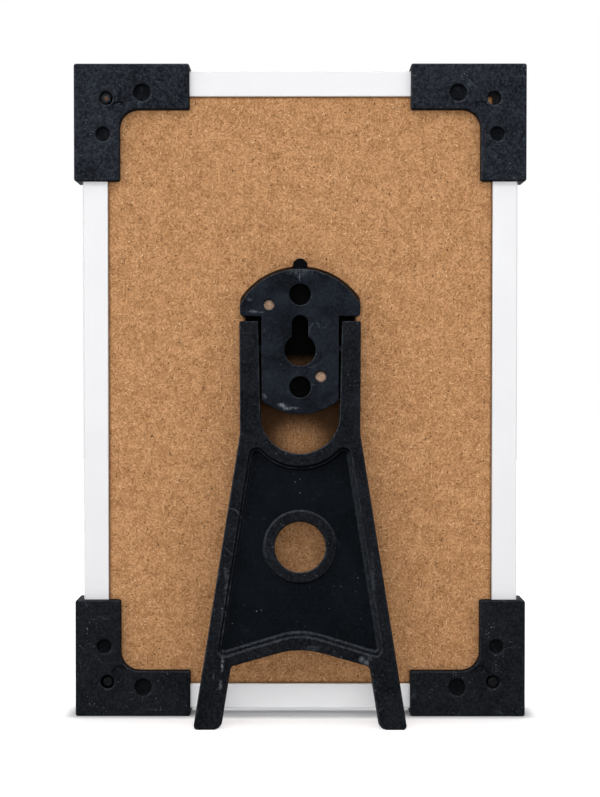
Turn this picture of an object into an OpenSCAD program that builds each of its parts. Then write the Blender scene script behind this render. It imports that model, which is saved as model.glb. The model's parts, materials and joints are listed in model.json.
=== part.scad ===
// Easel back photo frame for a 10 x 15 cm print, standing upright on its corner caps.
// X runs across the frame, Y from the picture side (minus) to the stand side (plus), Z up.
// The origin is on the table, midway across the frame and midway between front and feet.

/* [Picture pack] */
// Width of the board, print and glazing
picture_w = 100; // [86:1:200]
// Height of the board, print and glazing
picture_h = 150; // [124:1:240]
// Thickness of the backing board
board_t = 3; // [2:0.1:5]
// Thickness of the print
print_t = 0.3; // [0.2:0.05:1]
// Thickness of the glazing
glazing_t = 2; // [1.5:0.1:4]
// Distance from the picture's edge to the outer edge of the frame
edge = 6; // [5.6:0.1:8]

/* [Corner caps] */
// Length of the cap arm that runs across the frame
cap_arm_x = 28.6; // [24:0.1:30]
// Length of the cap arm that runs up the frame
cap_arm_z = 29; // [24:0.1:36]
// Width of the cap arms on the stand side
cap_arm_w = 11.3; // [10:0.1:13]
// Width of the cap arms on the picture side
cap_front_w = 9.6; // [9:0.1:11]
// Thickness of the cap plate on the stand side
cap_back_t = 1.8; // [1.5:0.1:2.4]
// Thickness of the cap plate on the picture side
cap_front_t = 1.4; // [1:0.1:2]
// Thickness of the cap walls at the left and right
cap_wall_x = 2; // [1.4:0.1:2.4]
// Thickness of the cap walls at the top and bottom
cap_wall_z = 1.65; // [1.2:0.05:2.4]
// Width of the inner cap edge that is turned down onto the board
cap_skirt = 1; // [0.6:0.1:1.4]
// Radius in the inner corner of the cap
cap_fillet = 4.6; // [2:0.1:6]
// Radius on the outer corners of the cap
cap_corner_r = 0.6; // [0.3:0.1:1]
// Radius of the hole that shows the peg of the corner key
peg_hole_r = 1.65; // [1.3:0.05:1.8]
// Distance of the peg hole from the side and from the end of the frame
peg_hole_at = [8, 8.55]; // [7:0.05:9]
// Radius of the blind recess on the arm that runs up the frame
recess_z_r = 1.75; // [1.2:0.05:2]
// Distance of that recess from the side and from the end of the frame
recess_z_at = [7.2, 17.4]; // [4:0.1:20]
// Radius of the blind recess on the arm that runs across the frame
recess_x_r = 2.1; // [1.4:0.05:2.5]
// Distance of that recess from the side and from the end of the frame
recess_x_at = [16.9, 7.2]; // [4:0.1:20]
// Depth of both blind recesses
recess_depth = 1.3; // [0.6:0.1:1.4]
// Radius of the shallow round mark beside the inner corner
mark_r = 1.6; // [1:0.1:2]
// Distance of the round mark from the side and from the end of the frame
mark_at = [11.1, 11]; // [10:0.1:12]
// Depth of the round mark
mark_depth = 0.15; // [0.05:0.05:0.3]

/* [Strips] */
// Width of the strip lip that holds the board
lip_w = 6.2; // [5.6:0.1:7]
// Thickness of that lip
lip_t = 1; // [0.7:0.05:1.4]
// Width of the strip face on the picture side
face_w = 7.4; // [6.6:0.1:7.6]
// Thickness of that face
face_t = 1; // [0.9:0.05:1.4]
// Wall round the hollow part of the strip
strip_wall = 0.9; // [0.7:0.05:1.1]
// Radius on the long outer edges of the strip
strip_edge_r = 0.5; // [0.2:0.1:0.6]
// Distance from the frame corner to the end of a strip, under the cap
strip_start = 10.2; // [9.8:0.1:12]

/* [Corner keys] */
// Length of the key tenons inside the strips
tenon_len = 14; // [8:0.5:18]
// Gap round a tenon inside its strip
tenon_gap = 0.05; // [0.02:0.01:0.15]
// Radius of the locating peg
peg_r = 1.1; // [0.8:0.05:1.25]
// Height of the locating peg above the lips
peg_h = 1.1; // [0.6:0.1:1.4]

/* [Stand bracket] */
// Height of the hinge axis above the table
hinge_z = 91; // [88:0.5:110]
// Height of the bracket face above the board
bracket_h = 6; // [5.6:0.1:7.5]
// Thickness of the bracket face
bracket_plate = 1.8; // [1.4:0.1:2.2]
// Wall of the bracket
bracket_wall = 1.7; // [1.4:0.1:2]
// Radius of the domed head at its face
dome_r = 16.9; // [16.2:0.05:18]
// How far the dome spreads from its face down to the board
dome_flare = 1; // [0.3:0.1:1.4]
// Height of the dome centre above the hinge axis
dome_up = 3.2; // [1.5:0.1:4]
// Half width of the head where its sides are cut flat
head_half = 14.85; // [14.6:0.05:15.4]
// Height of the head shoulders above the hinge axis
shoulder_up = 8.55; // [8.4:0.05:9.4]
// Radius at the shoulder corners
shoulder_r = 0.8; // [0.4:0.1:1.6]
// Half width of the bracket body between the leg arms
body_half = 9.5; // [9:0.05:9.55]
// Distance of the lowest point of the body below the hinge axis
body_down = 15.6; // [14.5:0.1:16]
// Radius of the curved lower end of the body
body_end_r = 15; // [12:0.5:24]
// Radius of the half round nub on top of the head
nub_r = 1.8; // [1.2:0.05:2.4]
// Height of the nub above the board
nub_h = 3.4; // [2:0.1:4]
// Radius of the round opening of the keyhole
key_big_r = 3.87; // [3.5:0.01:4]
// Width of the keyhole slot
key_slot_w = 4.05; // [3.6:0.05:4.4]
// Height of the round opening above the hinge axis
key_up = 0.15; // [-1:0.05:1]
// Distance from the centre of the round opening to the end centre of the slot
key_travel = 6.6; // [5:0.05:6.8]
// Radius of the two nail holes
nail_hole_r = 2.65; // [2:0.05:2.8]
// Depth of the nail holes
nail_hole_depth = 4.6; // [3.5:0.1:4.8]
// Height of the upper nail hole above the hinge axis
nail_up = 13.85; // [13.6:0.05:14.6]
// Distance of the lower nail hole below the hinge axis
nail_down = 8.95; // [8.6:0.05:9.2]

/* [Rivets] */
// Radius of the rivet heads
rivet_head_r = 1.27; // [1:0.01:1.4]
// Thickness of the rivet heads
rivet_head_t = 0.4; // [0.3:0.05:0.6]
// Radius of the rivet shanks
rivet_shank_r = 0.8; // [0.6:0.05:0.9]
// Radius of the clinched end behind the board
rivet_clinch_r = 1.5; // [1.2:0.05:1.8]
// Thickness of the clinched end
rivet_clinch_t = 0.5; // [0.3:0.05:0.8]
// Place of the upper rivet from the frame middle and the hinge axis
rivet_upper_at = [7.7, 11.4]; // [7:0.05:12]
// Depth of the upper rivet head below the bracket face
rivet_upper_sunk = 1.4; // [0.8:0.1:1.4]
// Place of the lower rivet from the frame middle and the hinge axis
rivet_lower_at = [-5.1, -6.3]; // [-8:0.1:-4]
// Depth of the lower rivet head below the bracket face
rivet_lower_sunk = 0.9; // [0.6:0.1:1.4]

/* [Stand leg] */
// Angle between the leg and the board when the leg stands open
leg_open = 8.35; // [8:0.05:13]
// Thickness of the leg
leg_t = 5; // [4.4:0.1:5.4]
// Length of the leg arms above the hinge axis
arm_over = 7.1; // [6.8:0.1:7.4]
// Gap between the stop end of the arms and the board
stop_gap = 0.05; // [0.02:0.01:0.1]
// Half width over the arms at their upper end
arm_out_top = 15; // [14.6:0.1:16]
// Half width over the arms where the leg starts to spread
arm_out_low = 14.75; // [14.4:0.05:16]
// Half width between the arms at their upper end
arm_in_top = 10.35; // [10.1:0.05:11]
// Radius on the corners at the upper end of the arms
arm_end_r = 0.35; // [0.1:0.05:0.8]
// Radius of the round end of the slot between the arms
slot_r = 9.75; // [9.7:0.05:10.2]
// Distance of the slot end centre below the hinge axis
slot_down = 16.05; // [15.5:0.05:18]
// Distance below the hinge axis where the leg starts to spread
spread_down = 20.9; // [19:0.1:23]
// Radius of the bend where the leg starts to spread
spread_r = 10; // [4:1:20]
// Half width over the feet
foot_out = 25.75; // [24:0.05:27]
// Width of each foot
foot_w = 6.6; // [5.5:0.05:7.5]
// Radius on the outer corner of a foot
foot_out_r = 0.9; // [0.4:0.1:2]
// Radius on the inner corner of a foot
foot_in_r = 2; // [0.8:0.1:2.6]
// Radius where a foot meets the cross bar
crotch_r = 1.2; // [0.6:0.1:2]
// Distance of the crown of the arch below the hinge axis
arch_down = 73.4; // [70:0.1:76]
// Radius of the crown of the arch
arch_r = 20; // [12:0.5:32]
// Slope of the arch beside its crown
arch_slope = 15.6; // [10:0.1:20]
// Width of the cross bar at its crown
bar_w = 3.2; // [2.6:0.05:4]
// Slope of the cross bar's upper edge beside its crown
bar_slope = 16.7; // [10:0.1:20]
// Radius of the crown of the cross bar's upper edge
bar_r = 16; // [10:0.5:30]
// Width of the side rims
rim_w = 3.05; // [2.8:0.05:3.6]
// Width of the rim round the slot end
slot_rim = 3.1; // [2.6:0.05:3.6]
// Radius at the two upper tips of the recess
tip_r = 1.8; // [1:0.05:2]
// Radius at the two lower corners of the recess
recess_r = 1.5; // [1.2:0.05:2]
// Depth of the recess down to its ledge
ledge_depth = 1.9; // [1.2:0.1:2.2]
// Width of the ledge beside the rims
ledge_w = 0.7; // [0.3:0.05:0.8]
// Width of the ledge above the cross bar
bar_ledge_w = 1.15; // [0.5:0.05:1.5]
// Depth of the recess down to the web
web_depth = 3.1; // [2.5:0.1:3.4]
// Radius of the hole in the web
ring_in = 6.25; // [5:0.05:6.8]
// Radius of the ring round that hole
ring_out = 8.85; // [8:0.05:9.5]
// Height of the ring above the web
ring_h = 1.2; // [0.6:0.1:1.6]
// Distance of the ring centre below the hinge axis
ring_down = 48.4; // [44:0.1:54]
// Place of the round ejector mark from the leg middle and the hinge axis
ejector_at = [-14.55, -69.1]; // [-70:0.05:-10]
// Radius of the ejector mark
ejector_r = 1.5; // [1:0.1:1.8]
// Depth of the ejector mark
ejector_depth = 0.12; // [0.05:0.01:0.3]
// Radius of the hinge pins moulded on the arms
pin_r = 1.3; // [1:0.05:1.4]
// Gap between a hinge pin and its bore
pin_gap = 0.06; // [0.03:0.01:0.1]

/* [Hidden] */

$fn = 96;
// Steps of a corner arc
arc_steps = 8;
// Overrun of every cut beyond the face that it leaves
cut = 0.5;

black = "#1e2126";
white = "#f0f0f2";
tan_board = "#b48a5e";
copper = "#a3856f";
paper_white = "#f4f2ec";

// Depths of the layers, from the stand side of the caps at zero towards the picture side
strip_back = -cap_back_t;
board_back = strip_back - lip_t;
board_front = board_back - board_t;
print_front = board_front - print_t;
glazing_front = print_front - glazing_t;
strip_front = glazing_front - face_t;
cap_front = strip_front - cap_front_t;
bracket_face = board_back + bracket_h;
bracket_under = bracket_face - bracket_plate;

// Width, height and depth over the corner caps
frame_w = picture_w + edge*2;
frame_h = picture_h + edge*2;
frame_d = -cap_front;
// Least room between the picture's edge and the hollow part of a strip
picture_gap = 0.3;
// Width of the hollow part of a strip, walls included
chamber_w = edge - max(cap_wall_x, cap_wall_z) - picture_gap;
// Clear width and depth inside a strip
hollow_w = chamber_w - strip_wall*2;
hollow_d = strip_back - strip_front - strip_wall*2;

// Hinge axis above the board, set by the arm ends that stop the leg against the board
hinge_up = arm_over*sin(leg_open) + leg_t/2*cos(leg_open) + stop_gap;
hinge_y = board_back + hinge_up;
// Distance from the hinge axis to the sole, along the outer face of the leg
sole_down = (hinge_z + leg_t/2*sin(leg_open))/cos(leg_open);
// How far the sole reaches behind the stand side of the caps
reach = hinge_y + sole_down*sin(leg_open) + leg_t/2*cos(leg_open);
// Shift that puts the origin midway between the picture side and the feet
middle_y = (frame_d - reach)/2;

bore_r = pin_r + pin_gap;
// Inner end of the hinge pins, flush with the inside of the bracket walls
pin_in = body_half - bracket_wall;
// Outer end of the hinge pins, sunk in the arms
pin_out = arm_in_top + pin_r;
dome_z = hinge_z + dome_up;
// Top of the domed head where it meets the board
crown_z = dome_z + dome_r + dome_flare;
shoulder_z = hinge_z + shoulder_up;
boss_r = nail_hole_r + bracket_wall*3/4;
rivet_boss_r = rivet_head_r + bracket_wall*3/4;
rivet_hole_r = rivet_shank_r + pin_gap;
rivet_seat_r = rivet_head_r + pin_gap;

// Sideways gain of the leg's outer edge for each unit down, and its angle
spread = (foot_out - arm_out_low)/(sole_down - spread_down);
spread_angle = atan(spread);
// Sideways width of a rim that lies along the spreading edge
rim_side = rim_w/cos(spread_angle);
// Where the two slopes of the arch, and of the bar's upper edge, would meet without their round crowns
arch_peak = arch_down - arch_r*(1/cos(arch_slope) - 1);
bar_peak = arch_down - bar_w - bar_r*(1/cos(bar_slope) - 1);

// The round tip of the recess touches the side rim and the rim of the slot end:
// its centre lies on a line beside the rim, at a set distance from the slot end centre
tip_far = slot_r + slot_rim + tip_r;
tip_line = arm_out_low - rim_side - tip_r/cos(spread_angle) - spread*spread_down;
tip_lean = slot_down - tip_line*spread;
tip_square = 1 + spread*spread;
tip_down = (tip_lean + sqrt(tip_lean*tip_lean - tip_square*(tip_line*tip_line + slot_down*slot_down - tip_far*tip_far)))/tip_square;
tip_mid = [tip_line + spread*tip_down, -tip_down];

// Unit vector along a line
function unit(v) = v/norm(v);

// Points of the arc that rounds corner b between a and c with radius r
function corner_arc(a, b, c, r) =
  let (
    u = unit(a - b),
    v = unit(c - b),
    half = acos(u*v)/2,
    mid = b + unit(u + v)*r/sin(half),
    s = b + u*r/tan(half) - mid,
    e = b + v*r/tan(half) - mid,
    from = atan2(s.y, s.x),
    turn = (atan2(e.y, e.x) - from + 540)%360 - 180
  )
  r <= 0 ? [b] : [for (i = [0:arc_steps]) mid + r*[cos(from + turn*i/arc_steps), sin(from + turn*i/arc_steps)]];

// A closed outline whose corners are rounded by their own radii
function rounded(points, radii) =
  let (n = len(points))
  [for (i = [0:n - 1]) each corner_arc(points[(i + n - 1)%n], points[i], points[(i + 1)%n], radii[i])];

// The items of a list from last to first
function reversed(list) = [for (i = [len(list) - 1:-1:0]) list[i]];

// The points of the right half of an outline as they follow on its left half
function mirrored(points) = [for (p = reversed(points)) [-p.x, p.y]];

// Where an edge that lies inset inside the leg's outer edge meets a slope with that peak
function meet(inset, peak, slope) =
  let (x = (arm_out_low - inset + spread*(peak - spread_down))/(1 - spread*tan(slope)))
  [x, -peak - x*tan(slope)];

// Puts the frame's own depths on the common origin
module place() {
  translate([0, middle_y, 0]) children();
}

// Raises an outline drawn in X and Z into a slab between two depths
module slab(near, far) {
  translate([0, far, 0]) rotate([90, 0, 0]) linear_extrude(height = far - near) children();
}

// A round bar along Y between two depths
module rod(r, near, far) {
  translate([0, far, 0]) rotate([90, 0, 0]) cylinder(r = r, h = far - near);
}

// Turns a corner drawn at the lower left of the frame into any of the four
module at_corner(side, top) {
  translate([side*frame_w/2, 0, top ? frame_h : 0])
    mirror([side > 0 ? 1 : 0, 0, 0])
      mirror([0, 0, top ? 1 : 0])
        children();
}

// Outline of the two arms of a cap, with the radii in its inner corner and on its arm ends
module ell(upright_w, level_w, inner_r, end_r) {
  polygon(rounded(
    [
      [0, 0], [cap_arm_x, 0], [cap_arm_x, level_w],
      [upright_w, level_w], [upright_w, cap_arm_z], [0, cap_arm_z]
    ],
    [cap_corner_r, cap_corner_r, end_r, inner_r, end_r, cap_corner_r]
  ));
}

// One corner cap: a folded shell round the ends of two strips
module cap_shape() {
  skirt_at = cap_arm_w - cap_skirt;
  color(black) difference() {
    union() {
      slab(strip_back, 0) ell(cap_arm_w, cap_arm_w, cap_fillet, cap_corner_r);
      slab(board_back, strip_back) intersection() {
        ell(cap_arm_w, cap_arm_w, cap_fillet, cap_corner_r);
        translate([skirt_at, skirt_at]) square([cap_arm_x, cap_arm_z]);
      }
      slab(cap_front, strip_front) ell(cap_front_w, cap_front_w, cap_fillet, cap_corner_r);
      slab(cap_front, 0) ell(cap_wall_x, cap_wall_z, 0, 0);
    }
    translate([peg_hole_at.x, 0, peg_hole_at.y]) rod(peg_hole_r, strip_back - cut, cut);
    translate([recess_z_at.x, 0, recess_z_at.y]) rod(recess_z_r, -recess_depth, cut);
    translate([recess_x_at.x, 0, recess_x_at.y]) rod(recess_x_r, -recess_depth, cut);
    translate([mark_at.x, 0, mark_at.y]) rod(mark_r, -mark_depth, cut);
  }
}

// Section of a strip: hollow part, lip over the board and face over the glazing.
// It is drawn with the outer edge of the strip at zero and its depth upwards.
module strip_section() {
  difference() {
    polygon(rounded(
      [
        [0, strip_front], [face_w, strip_front], [face_w, glazing_front],
        [chamber_w, glazing_front], [chamber_w, board_back], [lip_w, board_back],
        [lip_w, strip_back], [0, strip_back]
      ],
      [strip_edge_r, strip_edge_r, strip_edge_r/2, 0, 0, strip_edge_r/2, strip_edge_r/2, strip_edge_r]
    ));
    translate([strip_wall, strip_front + strip_wall]) square([hollow_w, hollow_d]);
  }
}

// A strip that stands along Z, with its outer edge towards minus X
module strip_up(length) {
  linear_extrude(height = length) strip_section();
}

module side_strip(side) {
  color(white) place()
    mirror([side > 0 ? 1 : 0, 0, 0])
      translate([cap_wall_x - frame_w/2, 0, strip_start])
        strip_up(frame_h - strip_start*2);
}

module level_strip(top) {
  color(white) place()
    translate([0, 0, top ? frame_h : 0]) mirror([0, 0, top ? 1 : 0])
      translate([frame_w/2 - strip_start, 0, cap_wall_z])
        rotate([0, -90, 0]) strip_up(frame_w - strip_start*2);
}

// One arm of a corner key, lying along X: its share of the corner block and a tenon.
// The tenon starts one strip wall inside the block so that both are one solid.
module key_arm(block) {
  hollow_near = strip_front + strip_wall + tenon_gap;
  slab(strip_front, strip_back) square([block, chamber_w]);
  slab(board_back, strip_back) square([block, lip_w]);
  slab(strip_front, glazing_front) square([block, face_w]);
  translate([block - strip_wall, 0, strip_wall + tenon_gap])
    slab(hollow_near, hollow_near + hollow_d - tenon_gap*2)
      square([tenon_len + strip_wall, hollow_w - tenon_gap*2]);
}

// One corner key: a block that fills the corner and two tenons for the strips
module key_shape(pegged) {
  color(black) {
    translate([cap_wall_x, 0, cap_wall_z]) {
      key_arm(strip_start - cap_wall_x);
      mirror([1, 0, -1]) key_arm(strip_start - cap_wall_z);
    }
    if (pegged) translate([peg_hole_at.x, 0, peg_hole_at.y]) rod(peg_r, board_back, strip_back + peg_h);
  }
}

module backing_board() {
  color(tan_board) place() difference() {
    translate([-picture_w/2, board_front, edge]) cube([picture_w, board_t, picture_h]);
    for (at = [rivet_upper_at, rivet_lower_at])
      translate([at.x, 0, hinge_z + at.y]) {
        rod(rivet_hole_r, board_front - cut, board_back + cut);
        rod(rivet_clinch_r + pin_gap, board_front - cut, board_front + rivet_clinch_t + pin_gap);
      }
  }
}

module photo_print() {
  color(paper_white) place()
    translate([-picture_w/2, print_front, edge]) cube([picture_w, print_t, picture_h]);
}

module glazing() {
  color("lightcyan", 0.4) place()
    translate([-picture_w/2, glazing_front, edge]) cube([picture_w, glazing_t, picture_h]);
}

// Outline of the bracket head below its dome, drawn in by inset
module head_outline(inset) {
  right = [[head_half - inset, crown_z], [head_half - inset, shoulder_z + inset]];
  polygon(rounded(concat(right, mirrored(right)), [0, shoulder_r, shoulder_r, 0]));
}

// Outline of the bracket body between the leg arms, drawn in by inset.
// It runs up into the head by two walls, so that the two are one shell.
module body_outline(inset) {
  intersection() {
    translate([inset - body_half, hinge_z - body_down])
      square([(body_half - inset)*2, body_down + shoulder_up + bracket_wall*2]);
    translate([0, hinge_z - body_down + body_end_r]) union() {
      circle(r = body_end_r - inset);
      translate([-body_half, 0]) square([body_half*2, body_end_r*2]);
    }
  }
}

// The bracket as a solid block, or the space inside its walls
module bracket_mass(inset, far) {
  intersection() {
    slab(board_back, far) head_outline(inset);
    translate([0, far, dome_z]) rotate([90, 0, 0])
      cylinder(r1 = dome_r - inset, r2 = dome_r + dome_flare - inset, h = far - board_back);
  }
  slab(board_back, far) body_outline(inset);
}

// Posts behind the bracket face that carry the nail holes and the rivets
module bracket_posts() {
  for (up = [nail_up, -nail_down])
    translate([0, 0, hinge_z + up]) rod(boss_r, board_back, bracket_under);
  for (at = [rivet_upper_at, rivet_lower_at])
    translate([at.x, 0, hinge_z + at.y]) rod(rivet_boss_r, board_back, bracket_under);
}

// Recess for a rivet head and the hole for its shank
module rivet_seat(at, sunk) {
  translate([at.x, 0, hinge_z + at.y]) {
    rod(rivet_seat_r, bracket_face - sunk - rivet_head_t, bracket_face + cut);
    rod(rivet_hole_r, board_back - cut, bracket_face);
  }
}

module keyhole() {
  translate([0, 0, hinge_z + key_up]) {
    rod(key_big_r, bracket_under - cut, bracket_face + cut);
    translate([0, 0, key_travel]) rod(key_slot_w/2, bracket_under - cut, bracket_face + cut);
    slab(bracket_under - cut, bracket_face + cut)
      translate([-key_slot_w/2, 0]) square([key_slot_w, key_travel]);
  }
}

module stand_bracket() {
  color(black) place() difference() {
    union() {
      difference() {
        bracket_mass(0, bracket_face);
        translate([0, -cut, 0]) bracket_mass(bracket_wall, bracket_under + cut);
      }
      intersection() {
        bracket_posts();
        bracket_mass(0, bracket_face);
      }
      translate([0, 0, crown_z]) rod(nub_r, board_back, board_back + nub_h);
    }
    keyhole();
    for (up = [nail_up, -nail_down])
      translate([0, 0, hinge_z + up]) rod(nail_hole_r, bracket_face - nail_hole_depth, bracket_face + cut);
    rivet_seat(rivet_upper_at, rivet_upper_sunk);
    rivet_seat(rivet_lower_at, rivet_lower_sunk);
    for (side = [-1, 1])
      translate([side*(pin_in - cut), hinge_y, hinge_z]) rotate([0, side*90, 0])
        cylinder(r = bore_r, h = bracket_wall + cut*2);
  }
}

module rivet(at, sunk) {
  seat = bracket_face - sunk - rivet_head_t;
  color(copper) place() translate([at.x, 0, hinge_z + at.y]) {
    rod(rivet_head_r, seat, seat + rivet_head_t);
    rod(rivet_shank_r, board_front, seat);
    rod(rivet_clinch_r, board_front, board_front + rivet_clinch_t);
  }
}

// Outline of the whole leg without its slot, hinge axis at the origin
module leg_outline() {
  right = [
    [arm_out_top, arm_over], [arm_out_low, -spread_down], [foot_out, -sole_down],
    [foot_out - foot_w, -sole_down], meet(foot_w, arch_peak, arch_slope)
  ];
  radii = [arm_end_r, spread_r, foot_out_r, foot_in_r, crotch_r];
  polygon(rounded(
    concat(right, [[0, -arch_peak]], mirrored(right)),
    concat(radii, [arch_r], reversed(radii))
  ));
}

// Slot between the arms that clears the bracket body
module leg_slot() {
  right = [[arm_in_top, arm_over + cut], [slot_r, -slot_down]];
  translate([0, -slot_down]) circle(r = slot_r);
  polygon(concat(right, mirrored(right)));
}

// Outline of the recess between the rims, drawn in at the sides and above the cross bar
module recess_outline(side_in, bar_in) {
  slot_mid = [0, -slot_down];
  rim_r = slot_r + slot_rim + side_in;
  round_r = tip_r - side_in;
  side_inset = rim_side + side_in/cos(spread_angle);
  peak = bar_peak - bar_in/cos(bar_slope);
  right = [
    slot_mid + unit(tip_mid - slot_mid)*rim_r,
    tip_mid,
    tip_mid + round_r*[cos(spread_angle), sin(spread_angle)],
    meet(side_inset, peak, bar_slope)
  ];
  radii = [0, 0, 0, recess_r - side_in];
  difference() {
    union() {
      polygon(rounded(
        concat(right, [[0, -peak]], mirrored(right)),
        concat(radii, [bar_r + bar_in], reversed(radii))
      ));
      for (side = [-1, 1]) translate([side*tip_mid.x, tip_mid.y]) circle(r = round_r);
    }
    translate(slot_mid) circle(r = rim_r);
  }
}

// The leg as it lies against a board, with its outer face towards plus Y
module leg_flat() {
  outer = leg_t/2;
  difference() {
    union() {
      difference() {
        slab(-outer, outer) difference() {
          leg_outline();
          leg_slot();
        }
        slab(outer - ledge_depth, outer + cut) recess_outline(0, 0);
        slab(outer - web_depth, outer + cut) recess_outline(ledge_w, bar_ledge_w);
        translate([ejector_at.x, 0, ejector_at.y]) rod(ejector_r, outer - web_depth - ejector_depth, outer);
      }
      translate([0, 0, -ring_down]) rod(ring_out, -outer, outer - web_depth + ring_h);
    }
    translate([0, 0, -ring_down]) rod(ring_in, -outer - cut, outer + cut);
  }
  for (side = [-1, 1])
    translate([side*pin_in, 0, 0]) rotate([0, side*90, 0]) cylinder(r = pin_r, h = pin_out - pin_in);
}

// The leg opened to its stop, with its soles cut level with the table
module stand_leg() {
  color(black) place() difference() {
    translate([0, hinge_y, hinge_z]) rotate([leg_open, 0, 0]) leg_flat();
    translate([-frame_w/2, -frame_d, -leg_t]) cube([frame_w, frame_d + reach*2, leg_t]);
  }
}

module corner_cap(side, top) {
  place() at_corner(side, top) cap_shape();
}

// The key in the upper left corner, seen from the picture side, has no peg
module corner_key(side, top) {
  place() at_corner(side, top) key_shape(side > 0 || !top);
}

level_strip(true);  // strip_top
level_strip(false);  // strip_bottom
side_strip(-1);  // strip_left
side_strip(1);  // strip_right
corner_cap(-1, true);  // corner_cap_top_left
corner_cap(1, true);  // corner_cap_top_right
corner_cap(-1, false);  // corner_cap_bottom_left
corner_cap(1, false);  // corner_cap_bottom_right
corner_key(-1, true);  // corner_key_top_left
corner_key(1, true);  // corner_key_top_right
corner_key(-1, false);  // corner_key_bottom_left
corner_key(1, false);  // corner_key_bottom_right
backing_board();
photo_print();
glazing();
stand_bracket();
rivet(rivet_upper_at, rivet_upper_sunk);  // rivet_upper
rivet(rivet_lower_at, rivet_lower_sunk);  // rivet_lower
stand_leg();
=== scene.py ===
# %% [markdown]
# # An easel back photo frame, seen from its stand side
#
# The frame is four white strips round a hardboard back, with four black corner caps.
# A black bracket is riveted to the board, and a black leg swings in it.
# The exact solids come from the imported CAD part. This script gives them their finishes,
# and swaps some of them for copies with the small rounded edges that moulded plastic has.

import json
import math

import bmesh
import bpy
from mathutils import Matrix, Vector
from mathutils.geometry import intersect_line_line_2d

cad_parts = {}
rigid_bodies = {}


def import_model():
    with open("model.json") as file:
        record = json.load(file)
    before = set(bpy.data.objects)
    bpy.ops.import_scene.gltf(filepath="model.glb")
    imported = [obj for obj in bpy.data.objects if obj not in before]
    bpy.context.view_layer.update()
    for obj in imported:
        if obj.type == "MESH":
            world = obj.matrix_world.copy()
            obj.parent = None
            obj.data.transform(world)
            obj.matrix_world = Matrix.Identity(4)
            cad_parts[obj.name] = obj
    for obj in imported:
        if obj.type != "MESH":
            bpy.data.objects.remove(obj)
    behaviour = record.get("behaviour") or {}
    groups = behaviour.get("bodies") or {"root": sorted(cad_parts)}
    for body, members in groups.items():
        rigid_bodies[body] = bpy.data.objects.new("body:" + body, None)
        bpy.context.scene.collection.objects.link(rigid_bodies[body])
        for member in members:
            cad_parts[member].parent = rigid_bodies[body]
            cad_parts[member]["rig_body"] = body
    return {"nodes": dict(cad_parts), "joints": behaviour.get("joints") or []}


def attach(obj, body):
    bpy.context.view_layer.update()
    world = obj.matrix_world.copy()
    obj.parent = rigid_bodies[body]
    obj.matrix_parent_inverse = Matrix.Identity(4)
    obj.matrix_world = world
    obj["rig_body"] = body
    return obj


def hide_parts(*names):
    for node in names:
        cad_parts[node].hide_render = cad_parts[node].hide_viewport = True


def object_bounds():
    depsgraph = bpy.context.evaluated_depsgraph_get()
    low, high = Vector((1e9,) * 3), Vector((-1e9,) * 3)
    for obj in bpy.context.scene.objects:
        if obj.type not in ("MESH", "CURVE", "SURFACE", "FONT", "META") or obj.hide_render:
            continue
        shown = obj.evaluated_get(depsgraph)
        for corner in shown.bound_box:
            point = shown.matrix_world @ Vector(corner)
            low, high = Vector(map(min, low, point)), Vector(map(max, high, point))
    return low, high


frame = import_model()
nodes = frame["nodes"]
cad_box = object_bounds()
MM = 0.001
print("CAD nodes:", len(nodes))
print("CAD box, mm:", [[round(v / MM, 2) for v in corner] for corner in cad_box])

# %% [markdown]
# ## Camera
#
# The photo was taken from about 44 cm behind the frame, at the height of its middle,
# looking almost level. The pinhole camera below was fitted to the corners of the caps, the ends
# of the strips and the holes. Its small shift is the place of the picture's centre. A Track To
# constraint could aim it, but a matrix made from three directions says it exactly.

# %% Camera
PICTURE = (600, 797)
FOCAL_PX = 1778.0
CENTRE_PX = (295.45, 409.89)
EYE = Vector((-0.09, 437.93, 87.66)) * MM
PITCH = math.radians(1.464)
YAW = math.radians(0.163)

look = Vector((math.sin(YAW) * math.cos(PITCH), -math.cos(YAW) * math.cos(PITCH), -math.sin(PITCH)))
right = look.cross(Vector((0, 0, 1))).normalized()
up = right.cross(look)
camera_data = bpy.data.cameras.new("camera")
camera_data.sensor_fit = "VERTICAL"
camera_data.sensor_height = 36
camera_data.lens = FOCAL_PX / PICTURE[1] * camera_data.sensor_height
camera_data.shift_x = (PICTURE[0] / 2 - CENTRE_PX[0]) / PICTURE[1]
camera_data.shift_y = (CENTRE_PX[1] - PICTURE[1] / 2) / PICTURE[1]
camera_data.clip_start = 0.01
camera_data.clip_end = 20
camera = bpy.data.objects.new("camera", camera_data)
turn = Matrix((right, up, -look)).transposed()
camera.matrix_world = Matrix.Translation(EYE) @ turn.to_4x4()
bpy.context.scene.collection.objects.link(camera)
bpy.context.scene.camera = camera
print("lens, mm:", round(camera_data.lens, 2))

# %% [markdown]
# ## Node helpers
#
# Every finish is made from shader nodes. A few helpers keep the cells short: they make a node,
# set it, and fill its sockets. A socket that is given another node's output is linked to it,
# and any other value is written on the socket itself.

# %% Node helpers
def node(tree, kind, **settings):
    made = tree.nodes.new("ShaderNode" + kind)
    for name, value in settings.items():
        setattr(made, name, value)
    return made


def plug(tree, socket, value):
    if isinstance(value, bpy.types.NodeSocket):
        tree.links.new(value, socket)
    else:
        socket.default_value = value


def math_of(tree, operation, a, b=0.0):
    made = node(tree, "Math", operation=operation)
    plug(tree, made.inputs[0], a)
    plug(tree, made.inputs[1], b)
    return made.outputs[0]


def noise_of(tree, place, scale, detail=2.0, roughness=0.5, distortion=0.0):
    made = node(tree, "TexNoise")
    plug(tree, made.inputs["Vector"], place)
    plug(tree, made.inputs["Scale"], scale)
    made.inputs["Detail"].default_value = detail
    made.inputs["Roughness"].default_value = roughness
    made.inputs["Distortion"].default_value = distortion
    return made.outputs["Fac"]


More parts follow.
